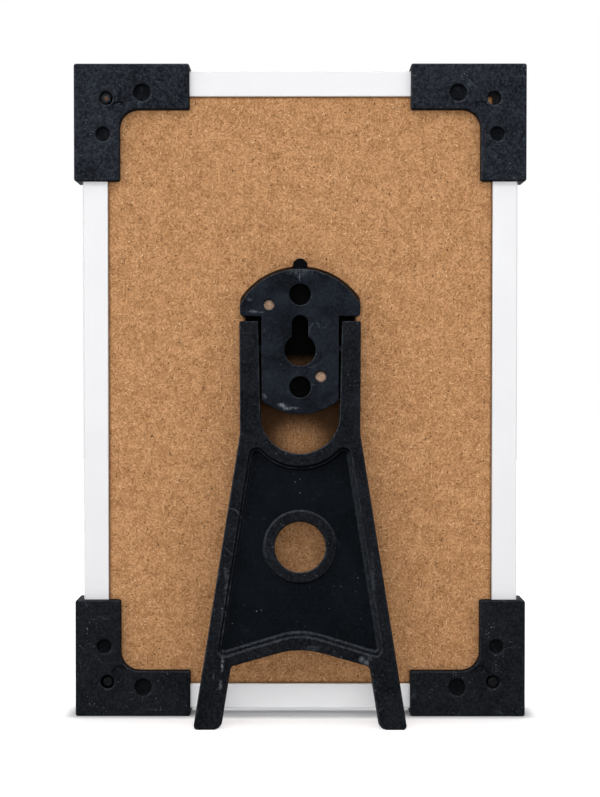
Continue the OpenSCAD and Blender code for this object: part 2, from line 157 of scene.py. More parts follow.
def band_of(tree, value, low, high, out_low=0.0, out_high=1.0):
    made = node(tree, "MapRange", interpolation_type="SMOOTHSTEP")
    for socket, number in zip(made.inputs, (value, low, high, out_low, out_high)):
        plug(tree, socket, number)
    return made.outputs[0]


def mix_of(tree, share, a, b):
    made = node(tree, "Mix", data_type="RGBA")
    plug(tree, made.inputs["Factor"], share)
    plug(tree, made.inputs[6], a)
    plug(tree, made.inputs[7], b)
    return made.outputs[2]


def shifted(tree, place, offset):
    made = node(tree, "VectorMath", operation="ADD")
    plug(tree, made.inputs[0], place)
    plug(tree, made.inputs[1], offset)
    return made.outputs[0]


# %% [markdown]
# A node group is a new tree with named sockets. In Blender 4.5 they are made through the
# tree's interface. A group is placed in a material as one node with its own values.

# %% Group helpers
def new_group(name, inputs, outputs):
    tree = bpy.data.node_groups.new(name, "ShaderNodeTree")
    for label, kind in inputs:
        tree.interface.new_socket(label, in_out="INPUT", socket_type="NodeSocket" + kind)
    for label, kind in outputs:
        tree.interface.new_socket(label, in_out="OUTPUT", socket_type="NodeSocket" + kind)
    return tree, tree.nodes.new("NodeGroupInput").outputs, tree.nodes.new("NodeGroupOutput").inputs


def group_of(tree, group, **values):
    made = node(tree, "Group", node_tree=group)
    for label, value in values.items():
        plug(tree, made.inputs[label], value)
    return made.outputs


def new_finish(name, roughness=0.5, specular=0.5, metallic=0.0):
    material = bpy.data.materials.new(name)
    material.use_nodes = True
    tree = material.node_tree
    shader = tree.nodes["Principled BSDF"]
    shader.inputs["Roughness"].default_value = roughness
    shader.inputs["Specular IOR Level"].default_value = specular
    shader.inputs["Metallic"].default_value = metallic
    place = node(tree, "TexCoord").outputs["Object"]
    return material, tree, shader.inputs, place


def bump_of(tree, height, distance, strength=1.0):
    made = node(tree, "Bump")
    plug(tree, made.inputs["Height"], height)
    made.inputs["Distance"].default_value = distance
    made.inputs["Strength"].default_value = strength
    return made.outputs[0]


# %% [markdown]
# ## One layer of fibres
#
# Hardboard is pressed wood felt. Close up it is a mat of short curved fibres, lighter and darker
# than the brown between them. A noise texture gives clouds, never hairs, so each hair is drawn
# on its own: a flat Voronoi texture scatters points, and every cell turns the place round its
# point by its own random angle and draws one short bent line there.

# %% Fibre layer group
fibre_layer, given, result = new_group(
    "fibre layer",
    [("Place", "Vector"), ("Scale", "Float"), ("Length", "Float"), ("Width", "Float"), ("Bend", "Float")],
    [("Mask", "Float"), ("Tone", "Float")],
)
cells = node(fibre_layer, "TexVoronoi", voronoi_dimensions="2D")
plug(fibre_layer, cells.inputs["Vector"], given["Place"])
plug(fibre_layer, cells.inputs["Scale"], given["Scale"])
chance = node(fibre_layer, "SeparateColor")
plug(fibre_layer, chance.inputs[0], cells.outputs["Color"])
away = node(fibre_layer, "VectorMath", operation="SUBTRACT")
plug(fibre_layer, away.inputs[0], given["Place"])
plug(fibre_layer, away.inputs[1], cells.outputs["Position"])
local = node(fibre_layer, "VectorMath", operation="SCALE")
plug(fibre_layer, local.inputs[0], away.outputs[0])
plug(fibre_layer, local.inputs["Scale"], given["Scale"])
turned = node(fibre_layer, "VectorRotate", rotation_type="Z_AXIS")
plug(fibre_layer, turned.inputs["Vector"], local.outputs[0])
plug(fibre_layer, turned.inputs["Angle"], math_of(fibre_layer, "MULTIPLY", chance.outputs[0], math.tau))
line = node(fibre_layer, "SeparateXYZ")
plug(fibre_layer, line.inputs[0], turned.outputs[0])
along = math_of(fibre_layer, "ABSOLUTE", line.outputs[0])
bow = math_of(fibre_layer, "MULTIPLY", math_of(fibre_layer, "MULTIPLY", along, along), given["Bend"])
bow = math_of(fibre_layer, "MULTIPLY", bow, math_of(fibre_layer, "SUBTRACT", chance.outputs[1], 0.5))
across = math_of(fibre_layer, "ABSOLUTE", math_of(fibre_layer, "SUBTRACT", line.outputs[1], bow))
thin = band_of(fibre_layer, across, given["Width"], 0.0)
short = band_of(fibre_layer, along, given["Length"], math_of(fibre_layer, "MULTIPLY", given["Length"], 0.6))
plug(fibre_layer, result["Mask"], math_of(fibre_layer, "MULTIPLY", thin, short))
plug(fibre_layer, result["Tone"], chance.outputs[2])
print("group:", fibre_layer.name, "nodes:", len(fibre_layer.nodes))

# %% [markdown]
# ## Hardboard
#
# The board is a warm brown with soft patches a few millimetres wide, pale fibres, dark fibres
# and dark specks of bark. It is dull, with a felt-like relief. The fibres are laid on a flat
# plan, X and Z made into X and Y, because only the board's two big faces are ever seen.
# Painted shade darkens the crease along the strips, and inside the bracket the board is painted
# nearly black as shade, where only the keyhole shows it. Painted shade also darkens the board
# under the bracket's lower end and behind the arms of the leg, and round the three pegs.

# %% Where the board meets the strips
def lip_points(name):
    back = max(v.co.y for v in nodes[name].data.vertices)
    return [v.co for v in nodes[name].data.vertices if v.co.y > back - 0.05 * MM]


board_half = min(abs(v.x) for v in lip_points("strip_left"))
board_low = max(v.z for v in lip_points("strip_bottom"))
board_high = min(v.z for v in lip_points("strip_top"))
print("open board, mm:", round(board_half * 2 / MM, 2), "by", round((board_high - board_low) / MM, 2))

# %% Where the pegs end
def end_of(name):
    points = [v.co for v in nodes[name].data.vertices]
    back = max(v.y for v in points)
    tip = [v for v in points if v.y > back - 0.05 * MM]
    return sum(tip, Vector()) / len(tip), max(v.x for v in tip) - min(v.x for v in tip)


PEGS = []
for name in nodes:
    if name.startswith("corner_key_"):
        tip, across = end_of(name)
        print(name, "highest flat, mm:", [round(v / MM, 2) for v in tip], "across:", round(across / MM, 2))
        if across < 4 * MM:
            PEGS.append((name, tip))
print("keys with a peg:", len(PEGS))

# %% Hardboard finish
hardboard, tree, skin, place = new_finish("hardboard", roughness=0.85, specular=0.05)
split = node(tree, "SeparateXYZ")
plug(tree, split.inputs[0], place)
plan = node(tree, "CombineXYZ")
plug(tree, plan.inputs[0], split.outputs[0])
plug(tree, plan.inputs[1], split.outputs[2])
plan = plan.outputs[0]
patches = noise_of(tree, place, 430, detail=6, roughness=0.70)
clouds = noise_of(tree, place, 40, detail=2)
grit = noise_of(tree, place, 1900, detail=4, roughness=0.75)
colour = mix_of(tree, band_of(tree, patches, 0.34, 0.66), (0.375, 0.183, 0.077, 1), (0.535, 0.280, 0.129, 1))
colour = mix_of(tree, band_of(tree, clouds, 0.3, 0.7, 0.0, 0.10), colour, (0.335, 0.16, 0.066, 1))
colour = mix_of(tree, band_of(tree, grit, 0.42, 0.70, 0.0, 0.62), colour, (0.20, 0.090, 0.034, 1))
colour = mix_of(tree, band_of(tree, grit, 0.52, 0.30, 0.0, 0.45), colour, (0.70, 0.42, 0.22, 1))

FIBRES = [
    # offset on the plan, cells per metre, length, width, bend, shown above this tone, strength, colour
    ((0.31, 0.17, 0), 560, 0.46, 0.060, 1.8, 0.30, 0.80, (0.72, 0.45, 0.24, 1)),
    ((0.77, 0.53, 0), 950, 0.46, 0.085, 1.4, 0.40, 0.65, (0.69, 0.42, 0.22, 1)),
    ((0.57, 0.83, 0), 820, 0.46, 0.080, 2.2, 0.34, 0.90, (0.17, 0.075, 0.030, 1)),
    ((0.13, 0.91, 0), 560, 0.42, 0.055, 2.6, 0.55, 0.90, (0.11, 0.048, 0.020, 1)),
    ((0.49, 0.29, 0), 700, 0.20, 0.110, 0.8, 0.74, 0.95, (0.04, 0.019, 0.010, 1)),
    ((0.63, 0.41, 0), 420, 0.15, 0.060, 2.5, 0.84, 0.75, (0.88, 0.66, 0.42, 1)),
    ((0.23, 0.67, 0), 240, 0.070, 0.060, 0.5, 0.84, 0.95, (0.02, 0.012, 0.009, 1)),
]
relief = math_of(tree, "MULTIPLY", patches, 0.9)
for offset, scale, length, width, bend, above, strength, shade in FIBRES:
    layer = group_of(tree, fibre_layer, Place=shifted(tree, plan, offset), Scale=float(scale),
                     Length=length, Width=width, Bend=bend)
    chosen = math_of(tree, "GREATER_THAN", layer["Tone"], above)
    share = math_of(tree, "MULTIPLY", math_of(tree, "MULTIPLY", layer["Mask"], chosen), strength)
    colour = mix_of(tree, share, colour, shade)
    relief = math_of(tree, "ADD", relief, math_of(tree, "MULTIPLY", share, 0.5 if shade[0] > 0.5 else -0.5))

level, upright = split.outputs[0], split.outputs[2]
side_gap = math_of(tree, "SUBTRACT", board_half, math_of(tree, "ABSOLUTE", level))
end_gap = math_of(tree, "MINIMUM", math_of(tree, "SUBTRACT", upright, board_low),
                  math_of(tree, "SUBTRACT", board_high, upright))
# Painted shade: a dark band along the crease where the board meets the strips.
crease = band_of(tree, math_of(tree, "MINIMUM", side_gap, end_gap), 0.9 * MM, 0.05 * MM, 0.0, 0.72)
colour = mix_of(tree, crease, colour, (0.055, 0.026, 0.012, 1))
width = math_of(tree, "ABSOLUTE", level)
# Painted shade: inside the bracket the board is drawn nearly black, a little less so low in the keyhole.
painted_bracket_shade = math_of(tree, "MULTIPLY", band_of(tree, width, 14.6 * MM, 13.4 * MM),
                  math_of(tree, "MULTIPLY", band_of(tree, upright, 76.0 * MM, 79.5 * MM),
                          band_of(tree, upright, 106 * MM, 103 * MM)))
through = math_of(tree, "MULTIPLY", band_of(tree, width, 4.2 * MM, 3.6 * MM),
                  band_of(tree, upright, 90.4 * MM, 87.4 * MM, 0.0, 0.13))
painted_bracket_shade = math_of(tree, "MULTIPLY", painted_bracket_shade, math_of(tree, "SUBTRACT", 1.0, through))
colour = mix_of(tree, painted_bracket_shade, colour, (0.0004, 0.0002, 0.0001, 1))
# Painted shade on the board under the bracket's lower end and behind the arms of the leg.
wide = math_of(tree, "DIVIDE", level, 10.5 * MM)
tall = math_of(tree, "DIVIDE", math_of(tree, "SUBTRACT", upright, 67.5 * MM), 9.5 * MM)
around = math_of(tree, "SQRT", math_of(tree, "ADD", math_of(tree, "MULTIPLY", wide, wide),
                                       math_of(tree, "MULTIPLY", tall, tall)))
ragged_edge = math_of(tree, "MULTIPLY", math_of(tree, "SUBTRACT", patches, 0.5), 0.5)
around = math_of(tree, "ADD", around, ragged_edge)
painted_slot_shade = math_of(tree, "MULTIPLY", band_of(tree, around, 0.05, 0.92, 0.22, 0.95),
                math_of(tree, "MULTIPLY", band_of(tree, width, 15.2 * MM, 12.0 * MM),
                        math_of(tree, "MULTIPLY", band_of(tree, upright, 62.0 * MM, 65.5 * MM),
                                band_of(tree, upright, 80 * MM, 78 * MM))))
colour = mix_of(tree, painted_slot_shade, colour, (0.028, 0.012, 0.005, 1))
# Painted shade on the board round the three pegs, under the caps.
for name, tip in PEGS:
    away = node(tree, "VectorMath", operation="DISTANCE")
    plug(tree, away.inputs[0], plan)
    away.inputs[1].default_value = (tip.x, tip.z, 0)
    painted_peg_shade = band_of(tree, away.outputs["Value"], 2.6 * MM, 2.2 * MM)
    colour = mix_of(tree, painted_peg_shade, colour, (0.0015, 0.0012, 0.0010, 1))
plug(tree, skin["Base Color"], colour)
plug(tree, skin["Normal"], bump_of(tree, relief, 0.00010, 0.7))
print("fibre layers:", len(FIBRES))

# %% [markdown]
# ## Black moulded plastic
#
# The caps, the bracket and the leg are cheap recycled black plastic: blue-black, cloudy, with a
# dull slate-like skin, fine hair scratches and pale dust specks. Edges that face up carry a painted
# highlight. The parts differ only in how much of each they show, so the marks are one group.
# Edges that face down carry painted shade instead, and faces below the open skin are painted darker,
# as shade.
# Hair scratches are the places where a stretched noise crosses its middle value.

# %% Moulded skin group
moulded_skin, given, result = new_group(
    "moulded skin",
    [("Place", "Vector"), ("Cloud scale", "Float"), ("Scratch scale", "Float"), ("Scratch width", "Float"),
     ("Speck scale", "Float"), ("Speck share", "Float")],
    [("Cloud", "Float"), ("Slate", "Float"), ("Scratch", "Float"), ("Speck", "Float")],
)
cloud = noise_of(moulded_skin, given["Place"], given["Cloud scale"], detail=4, roughness=0.6, distortion=0.6)
slate = noise_of(moulded_skin, shifted(moulded_skin, given["Place"], (0.3, 0.1, 0.2)), 1500, detail=4,
                 roughness=0.7, distortion=0.4)
elsewhere = shifted(moulded_skin, given["Place"], (0.1, 0.4, 0.7))
crossing = noise_of(moulded_skin, elsewhere, given["Scratch scale"], detail=1.5, roughness=0.5,
                    distortion=0.3)
crossing = math_of(moulded_skin, "ABSOLUTE", math_of(moulded_skin, "SUBTRACT", crossing, 0.5))
hair = band_of(moulded_skin, crossing, given["Scratch width"], 0.0)
broken = noise_of(moulded_skin, shifted(moulded_skin, given["Place"], (0.8, 0.2, 0.5)), 210, detail=2)
hair = math_of(moulded_skin, "MULTIPLY", hair, band_of(moulded_skin, broken, 0.52, 0.62))
dust = node(moulded_skin, "TexVoronoi")
plug(moulded_skin, dust.inputs["Vector"], given["Place"])
plug(moulded_skin, dust.inputs["Scale"], given["Speck scale"])
dust_chance = node(moulded_skin, "SeparateColor")
plug(moulded_skin, dust_chance.inputs[0], dust.outputs["Color"])
speck = band_of(moulded_skin, dust.outputs["Distance"], 0.34, 0.10)
clusters = noise_of(moulded_skin, shifted(moulded_skin, given["Place"], (0.6, 0.9, 0.1)), 190, detail=3)
speck = math_of(moulded_skin, "MULTIPLY", speck, band_of(moulded_skin, clusters, 0.46, 0.66, 0.06, 1.0))
speck = math_of(moulded_skin, "MULTIPLY", speck, dust_chance.outputs[1])
speck = math_of(moulded_skin, "MULTIPLY", speck,
                math_of(moulded_skin, "LESS_THAN", dust_chance.outputs[0], given["Speck share"]))
plug(moulded_skin, result["Cloud"], band_of(moulded_skin, cloud, 0.32, 0.68))
plug(moulded_skin, result["Slate"], band_of(moulded_skin, slate, 0.38, 0.64))
plug(moulded_skin, result["Scratch"], hair)
plug(moulded_skin, result["Speck"], speck)
print("group:", moulded_skin.name, "nodes:", len(moulded_skin.nodes))

# %% [markdown]
# A rub mark is one place where something has scuffed the plastic grey: an oval round a point,
# broken up by fine noise. Its place and radii are in metres on the part.

# %% Rub mark group
rub_mark, given, result = new_group(
    "rub mark", [("Place", "Vector"), ("Centre", "Vector"), ("Radii", "Vector")], [("Mask", "Float")])
offset = node(rub_mark, "VectorMath", operation="SUBTRACT")
plug(rub_mark, offset.inputs[0], given["Place"])
plug(rub_mark, offset.inputs[1], given["Centre"])
ratio = node(rub_mark, "VectorMath", operation="DIVIDE")
plug(rub_mark, ratio.inputs[0], offset.outputs[0])
plug(rub_mark, ratio.inputs[1], given["Radii"])
spread = node(rub_mark, "VectorMath", operation="LENGTH")
plug(rub_mark, spread.inputs[0], ratio.outputs[0])
ragged = noise_of(rub_mark, given["Place"], 620, detail=3, roughness=0.6)
ragged = math_of(rub_mark, "MULTIPLY", math_of(rub_mark, "SUBTRACT", ragged, 0.5), 2.6)
oval = band_of(rub_mark, math_of(rub_mark, "ADD", spread.outputs["Value"], ragged), 1.0, 0.25)
flecks = noise_of(rub_mark, given["Place"], 1500, detail=3, roughness=0.7)
flecks = band_of(rub_mark, flecks, 0.34, 0.62)
plug(rub_mark, result["Mask"], math_of(rub_mark, "MULTIPLY", oval, flecks))
print("group:", rub_mark.name, "nodes:", len(rub_mark.nodes))

# %% [markdown]
# Each cap has one very shallow round mark. Its step is only 0.15 mm, so what shows of it is the
# shade along its upper half. This group paints that shade: a dark line round the mark's middle and
# a softer darkening inside. The rims of the two rivets use it too, as painted shade on their upper
# halves.

# %% Step arc group
painted_step_shade, given, result = new_group(
    "painted step shade", [("Place", "Vector"), ("Centre", "Vector"), ("Radius", "Float")], [("Mask", "Float")])
offset = node(painted_step_shade, "VectorMath", operation="SUBTRACT")
plug(painted_step_shade, offset.inputs[0], given["Place"])
plug(painted_step_shade, offset.inputs[1], given["Centre"])
flat_offset = node(painted_step_shade, "VectorMath", operation="MULTIPLY")
plug(painted_step_shade, flat_offset.inputs[0], offset.outputs[0])
flat_offset.inputs[1].default_value = (1, 0, 1)
spread = node(painted_step_shade, "VectorMath", operation="LENGTH")
plug(painted_step_shade, spread.inputs[0], flat_offset.outputs[0])
height = node(painted_step_shade, "SeparateXYZ")
plug(painted_step_shade, height.inputs[0], offset.outputs[0])
line = math_of(painted_step_shade, "ABSOLUTE", math_of(painted_step_shade, "SUBTRACT", spread.outputs["Value"], given["Radius"]))
line = band_of(painted_step_shade, line, 0.26 * MM, 0.05 * MM)
upper = band_of(painted_step_shade, height.outputs[2], -0.3 * MM, 0.7 * MM)
half_radius = math_of(painted_step_shade, "MULTIPLY", given["Radius"], 0.5)
inside = band_of(painted_step_shade, spread.outputs["Value"], given["Radius"], half_radius)
soft = math_of(painted_step_shade, "MULTIPLY", math_of(painted_step_shade, "SUBTRACT", 1.0, inside),
               math_of(painted_step_shade, "LESS_THAN", spread.outputs["Value"], given["Radius"]))
mask = math_of(painted_step_shade, "MAXIMUM", math_of(painted_step_shade, "MULTIPLY", line, 0.9),
               math_of(painted_step_shade, "MULTIPLY", soft, 0.35))
plug(painted_step_shade, result["Mask"], math_of(painted_step_shade, "MULTIPLY", mask, upper))
print("group:", painted_step_shade.name, "nodes:", len(painted_step_shade.nodes))

# %% [markdown]
# Each plastic finish places the group once, mixes its masks over two blacks, and reads the
# attribute that the rounded copies below carry on their small edge faces: it paints a highlight on
# edges that face up and shade on edges that face down. "face" is the height of the open skin. What
# lies deeper is painted darker, as shade, by a given share, down to the height "side" where one is
# given, so that the outer sides keep their tone.

# %% Black plastic finishes
def black_plastic(name, dark, light, cloud_scale, slate_share, scratch, speck_share, edge,
                  roughness, specular, face=None, side=None, recess_shade_share=0.0, rubs=(), shade_arcs=()):
    material, tree, skin, place = new_finish(name, specular=specular)
    marks = group_of(tree, moulded_skin, **{
        "Place": place, "Cloud scale": cloud_scale, "Scratch scale": 60.0, "Scratch width": 0.006,
        "Speck scale": 1700.0, "Speck share": speck_share})
    tone = math_of(tree, "ADD", math_of(tree, "MULTIPLY", marks["Cloud"], 1 - slate_share),
                   math_of(tree, "MULTIPLY", marks["Slate"], slate_share))
    colour = mix_of(tree, tone, dark, light)
    # Painted light: edges facing up get a painted highlight, edges facing down painted shade.
    painted_edge_light = node(tree, "Attribute", attribute_name="painted edge light and shade", attribute_type="GEOMETRY").outputs["Fac"]
    patchy = band_of(tree, marks["Slate"], 0.1, 0.9, 0.35, 1.0)
    facing_down = math_of(tree, "MAXIMUM", math_of(tree, "MULTIPLY", painted_edge_light, -1.0), 0.0)
    shaded = math_of(tree, "MULTIPLY", facing_down, 0.85)
    painted_edge_light = math_of(tree, "MULTIPLY", math_of(tree, "MULTIPLY", painted_edge_light, patchy), edge)
    painted_edge_light = math_of(tree, "MAXIMUM", painted_edge_light, 0.0)
    colour = mix_of(tree, painted_edge_light, colour, (0.075, 0.084, 0.100, 1))
    colour = mix_of(tree, shaded, colour, (0.0008, 0.0009, 0.0011, 1))
    scratched = math_of(tree, "MULTIPLY", marks["Scratch"], scratch)
    colour = mix_of(tree, scratched, colour, (0.060, 0.072, 0.090, 1))
    dusty = math_of(tree, "MULTIPLY", marks["Speck"], 0.9)
    colour = mix_of(tree, dusty, colour, (0.19, 0.21, 0.24, 1))
    for centre, radii, strength in rubs:
        mark = group_of(tree, rub_mark, Place=place, Centre=[v * MM for v in centre],
                        Radii=[v * MM for v in radii])
        scuffed = math_of(tree, "MULTIPLY", mark["Mask"], strength)
        colour = mix_of(tree, scuffed, colour, (0.16, 0.175, 0.20, 1))
    # Painted shade along the upper half of each cap's shallow round mark.
    for centre, radius in shade_arcs:
        arc = group_of(tree, painted_step_shade, Place=place, Centre=[v * MM for v in centre], Radius=radius * MM)
        colour = mix_of(tree, arc["Mask"], colour, (0.0007, 0.0008, 0.0010, 1))
    # Painted shade: faces below the open skin are drawn darker, down to the height of the outer sides where
    # one is given.
    if face is not None:
        depth = node(tree, "SeparateXYZ")
        plug(tree, depth.inputs[0], place)
        painted_recess_shade = band_of(tree, depth.outputs[1], face - 0.25 * MM, face - 0.55 * MM)
        if side is not None:
            not_side = band_of(tree, depth.outputs[1], side - 0.6 * MM, side)
            painted_recess_shade = math_of(tree, "MULTIPLY", painted_recess_shade, not_side)
        painted_recess_shade = math_of(tree, "MULTIPLY", painted_recess_shade, recess_shade_share)
        colour = mix_of(tree, painted_recess_shade, colour, (0.0006, 0.0007, 0.0009, 1))
    plug(tree, skin["Base Color"], colour)
    plug(tree, skin["Roughness"], band_of(tree, tone, 0.0, 1.0, roughness + 0.08, roughness - 0.06))
    height = math_of(tree, "ADD", marks["Slate"], math_of(tree, "MULTIPLY", marks["Scratch"], -0.25))
    plug(tree, skin["Normal"], bump_of(tree, height, 0.00007, 0.8))
    return material


cap_face = max(v.co.y for v in nodes["corner_cap_top_left"].data.vertices)
half_wide = cad_box[1][0] / MM
full_high = cad_box[1][2] / MM
MARK_FROM_SIDE = 11.1
MARK_FROM_END = 11.0
MARK_RADIUS = 1.6
MARKS = [((side * (half_wide - MARK_FROM_SIDE), 0, z), MARK_RADIUS)
         for side in (-1, 1) for z in (MARK_FROM_END, full_high - MARK_FROM_END)]
strip_back = max(v.co.y for v in nodes["strip_top"].data.vertices)
bracket_face = max(v.co.y for v in nodes["stand_bracket"].data.vertices)
cap_black = black_plastic(
    "black cap plastic", (0.0020, 0.0027, 0.0044, 1), (0.0255, 0.0302, 0.0400, 1),
    cloud_scale=85.0, slate_share=0.7, scratch=0.55, speck_share=0.22, edge=0.7,
    roughness=0.55, specular=0.035, face=cap_face, side=strip_back, recess_shade_share=0.72, shade_arcs=MARKS)
# Painted shade: the lower caps take a darker copy of the cap finish, with weaker edge highlights.
shaded_low_cap_black = black_plastic(
    "black lower cap plastic with painted shade", (0.0026, 0.0032, 0.0043, 1), (0.0124, 0.0145, 0.0185, 1),
    cloud_scale=85.0, slate_share=0.7, scratch=0.45, speck_share=0.26, edge=0.38,
    roughness=0.55, specular=0.035, face=cap_face, side=strip_back, recess_shade_share=0.78, shade_arcs=MARKS)
BRACKET_RUBS = [
    # middle, radii, strength
    ((4.4, 0, 77.5), (1.9, 9, 0.9), 0.9),
    ((2.4, 0, 76.9), (3.2, 9, 0.5), 0.5),
    ((11.3, 0, 100.6), (2.0, 9, 0.7), 0.6),
    ((8.9, 0, 79.9), (0.8, 9, 1.2), 0.5),
    ((0.2, 0, 110.6), (5.0, 9, 1.4), 0.22),
    ((0.15, 0, 109.9), (0.16, 9, 2.4), 0.45),
    ((12.6, 0, 103.6), (0.9, 9, 0.5), 0.3),
]
LEG_RUBS = [
    # middle, radii, strength
    ((18.8, 0, 15.5), (0.45, 60, 2.2), 0.8),
    ((19.2, 0, 10.6), (0.5, 60, 2.4), 0.45),
    ((20.9, 0, 12.6), (0.3, 60, 1.4), 0.25),
    ((17.7, 0, 33.0), (0.9, 60, 7.0), 0.22),
    ((18.7, 0, 24.0), (0.7, 60, 5.0), 0.20),
    ((-17.6, 0, 36.0), (0.8, 60, 7.0), 0.16),
    ((-3.0, 0, 19.2), (3.6, 60, 0.9), 0.16),
    ((-15.6, 0, 16.4), (1.8, 60, 1.4), 0.55),
]
bracket_black = black_plastic(
    "black bracket plastic", (0.0024, 0.0031, 0.0046, 1), (0.0140, 0.0182, 0.0260, 1),
    cloud_scale=150.0, slate_share=0.40, scratch=0.4, speck_share=0.12, edge=0.75,
    roughness=0.52, specular=0.03, face=bracket_face, recess_shade_share=0.95, rubs=BRACKET_RUBS)
leg_black = black_plastic(
    "black leg plastic", (0.0010, 0.0013, 0.0020, 1), (0.0112, 0.0134, 0.0175, 1),
    cloud_scale=120.0, slate_share=0.65, scratch=0.45, speck_share=0.26, edge=0.6,
    roughness=0.55, specular=0.035, rubs=LEG_RUBS)
# The web takes a darker black than the rims: partly the moulding's own tone, partly painted shade in the
# recess.
web_black = black_plastic(
    "black web plastic", (0.0018, 0.0026, 0.0038, 1), (0.0046, 0.0064, 0.0092, 1),
    cloud_scale=60.0, slate_share=0.5, scratch=0.12, speck_share=0.06, edge=0.8,
    roughness=0.5, specular=0.02)
BLACKS = (cap_black, shaded_low_cap_black, bracket_black, leg_black, web_black)
print("black plastics:", [finish.name for finish in BLACKS])

# %% [markdown]
# The key pegs end in the small holes of three caps. They are a greyer black than the caps. One of
# them, at the cap with the most wear, has a rust-brown dot in a scuffed ring, so that key has its
# own finish.

# %% Key finishes
def key_plastic(name, shade, tip=None):
    material, tree, skin, place = new_finish(name, roughness=0.6, specular=0.06)
    grain = noise_of(tree, place, 1400, detail=4, roughness=0.7)
    deep = (0.45 * shade, 0.5 * shade, 0.6 * shade, 1)
    pale = (shade, 1.08 * shade, 1.24 * shade, 1)
    colour = mix_of(tree, band_of(tree, grain, 0.35, 0.65), deep, pale)
    if tip:
        away = node(tree, "VectorMath", operation="DISTANCE")
        plug(tree, away.inputs[0], place)
        away.inputs[1].default_value = tip
        away = away.outputs["Value"]
        ring = math_of(tree, "ABSOLUTE", math_of(tree, "SUBTRACT", away, 0.52 * MM))
        ring = band_of(tree, ring, 0.20 * MM, 0.05 * MM, 0.0, 0.35)
        ring = math_of(tree, "MULTIPLY", ring, band_of(tree, grain, 0.40, 0.52))
        colour = mix_of(tree, ring, colour, (0.15, 0.135, 0.125, 1))
        colour = mix_of(tree, band_of(tree, away, 0.42 * MM, 0.24 * MM), colour, (0.135, 0.048, 0.018, 1))
    plug(tree, skin["Base Color"], colour)
    plug(tree, skin["Roughness"], band_of(tree, grain, 0.3, 0.7, 0.68, 0.54))
    plug(tree, skin["Normal"], bump_of(tree, grain, 0.00003, 0.6))
    return material


key_black = key_plastic("black key plastic", 0.006)
dotted_key = key_plastic("black key plastic with a rust dot", 0.017, dict(PEGS)["corner_key_top_right"])
print("key finishes:", key_black.name, "and", dotted_key.name)

# %% [markdown]
# ## White strips, rivets, paper and glass
#
# The strips are extruded, so their faint marks run along them: the noise is stretched by a
# different amount on upright and level strips. The rivets are copper plated and dulled.
# The paper is a blank satin sheet, and the glass is clear. Light that falls through the glass
# onto the paper is let through whole, or the paper behind it would stay dark.

# %% White strip finish
def white_plastic(name, stretch, unlit_share=1.0):
    material, tree, skin, place = new_finish(name, roughness=0.36, specular=0.45)
    drawn = node(tree, "VectorMath", operation="MULTIPLY")
    plug(tree, drawn.inputs[0], place)
    drawn.inputs[1].default_value = stretch
    streak = noise_of(tree, drawn.outputs[0], 900, detail=2)
    smudge = noise_of(tree, place, 120, detail=3)
    colour = mix_of(tree, band_of(tree, streak, 0.3, 0.7, 0.0, 0.5), (0.735, 0.735, 0.75, 1),
                    (0.715, 0.717, 0.735, 1))
    colour = mix_of(tree, band_of(tree, smudge, 0.55, 0.8, 0.0, 0.3), colour, (0.69, 0.695, 0.715, 1))
    # Painted light: below a share of 1, the strip is drawn in a lighter white.
    colour = mix_of(tree, 1.0 - unlit_share, colour, (0.93, 0.935, 0.955, 1))
    plug(tree, skin["Base Color"], colour)
    plug(tree, skin["Roughness"], band_of(tree, smudge, 0.3, 0.8, 0.32, 0.46))
    plug(tree, skin["Normal"], bump_of(tree, streak, 0.00002, 0.4))
    return material


white_upright = white_plastic("white upright strip", (1.0, 1.0, 0.02))
white_level = white_plastic("white level strip", (0.02, 1.0, 1.0))
# Painted light: the lower strip is drawn lighter than the others, where it stands in shade.
painted_light_white_low = white_plastic("white lower strip with painted light", (0.02, 1.0, 1.0), 0.05)
print("strip finishes:", white_upright.name, white_level.name, painted_light_white_low.name)

# %% Rivet, paper and glass finishes
copper, tree, skin, place = new_finish("dull copper plate", metallic=0.4, specular=0.35)
mottle = noise_of(tree, place, 1900, detail=4, roughness=0.65)
stain = noise_of(tree, place, 900, detail=2)
colour = mix_of(tree, band_of(tree, mottle, 0.35, 0.7), (0.165, 0.098, 0.062, 1), (0.36, 0.240, 0.160, 1))
colour = mix_of(tree, band_of(tree, stain, 0.55, 0.75, 0.0, 0.5), colour, (0.22, 0.12, 0.08, 1))
for name in ("rivet_upper", "rivet_lower"):
    points = [v.co for v in nodes[name].data.vertices]
    middle = sum(points, Vector()) / len(points)
    rim = max(abs(v.x - middle.x) for v in points if v.y > max(p.y for p in points) - 0.3 * MM)
    print(name, "middle, mm:", [round(v / MM, 2) for v in middle], "radius:", round(rim / MM, 2))
    # Painted shade on the upper half of each rivet's rim.
    arc = group_of(tree, painted_step_shade, Place=place, Centre=(middle.x, 0, middle.z), Radius=rim * 0.93)
    colour = mix_of(tree, arc["Mask"], colour, (0.03, 0.016, 0.010, 1))
plug(tree, skin["Base Color"], colour)
plug(tree, skin["Roughness"], band_of(tree, mottle, 0.2, 0.8, 0.42, 0.62))
plug(tree, skin["Normal"], bump_of(tree, mottle, 0.00003, 0.6))

paper, tree, skin, place = new_finish("blank satin paper", roughness=0.5, specular=0.3)
pulp = noise_of(tree, place, 700, detail=4, roughness=0.6)
shade = noise_of(tree, place, 22, detail=1)
colour = mix_of(tree, band_of(tree, pulp, 0.3, 0.7), (0.83, 0.82, 0.79, 1), (0.87, 0.86, 0.835, 1))
colour = mix_of(tree, band_of(tree, shade, 0.3, 0.7, 0.0, 0.25), colour, (0.78, 0.775, 0.755, 1))
plug(tree, skin["Base Color"], colour)
plug(tree, skin["Normal"], bump_of(tree, pulp, 0.00002, 0.3))

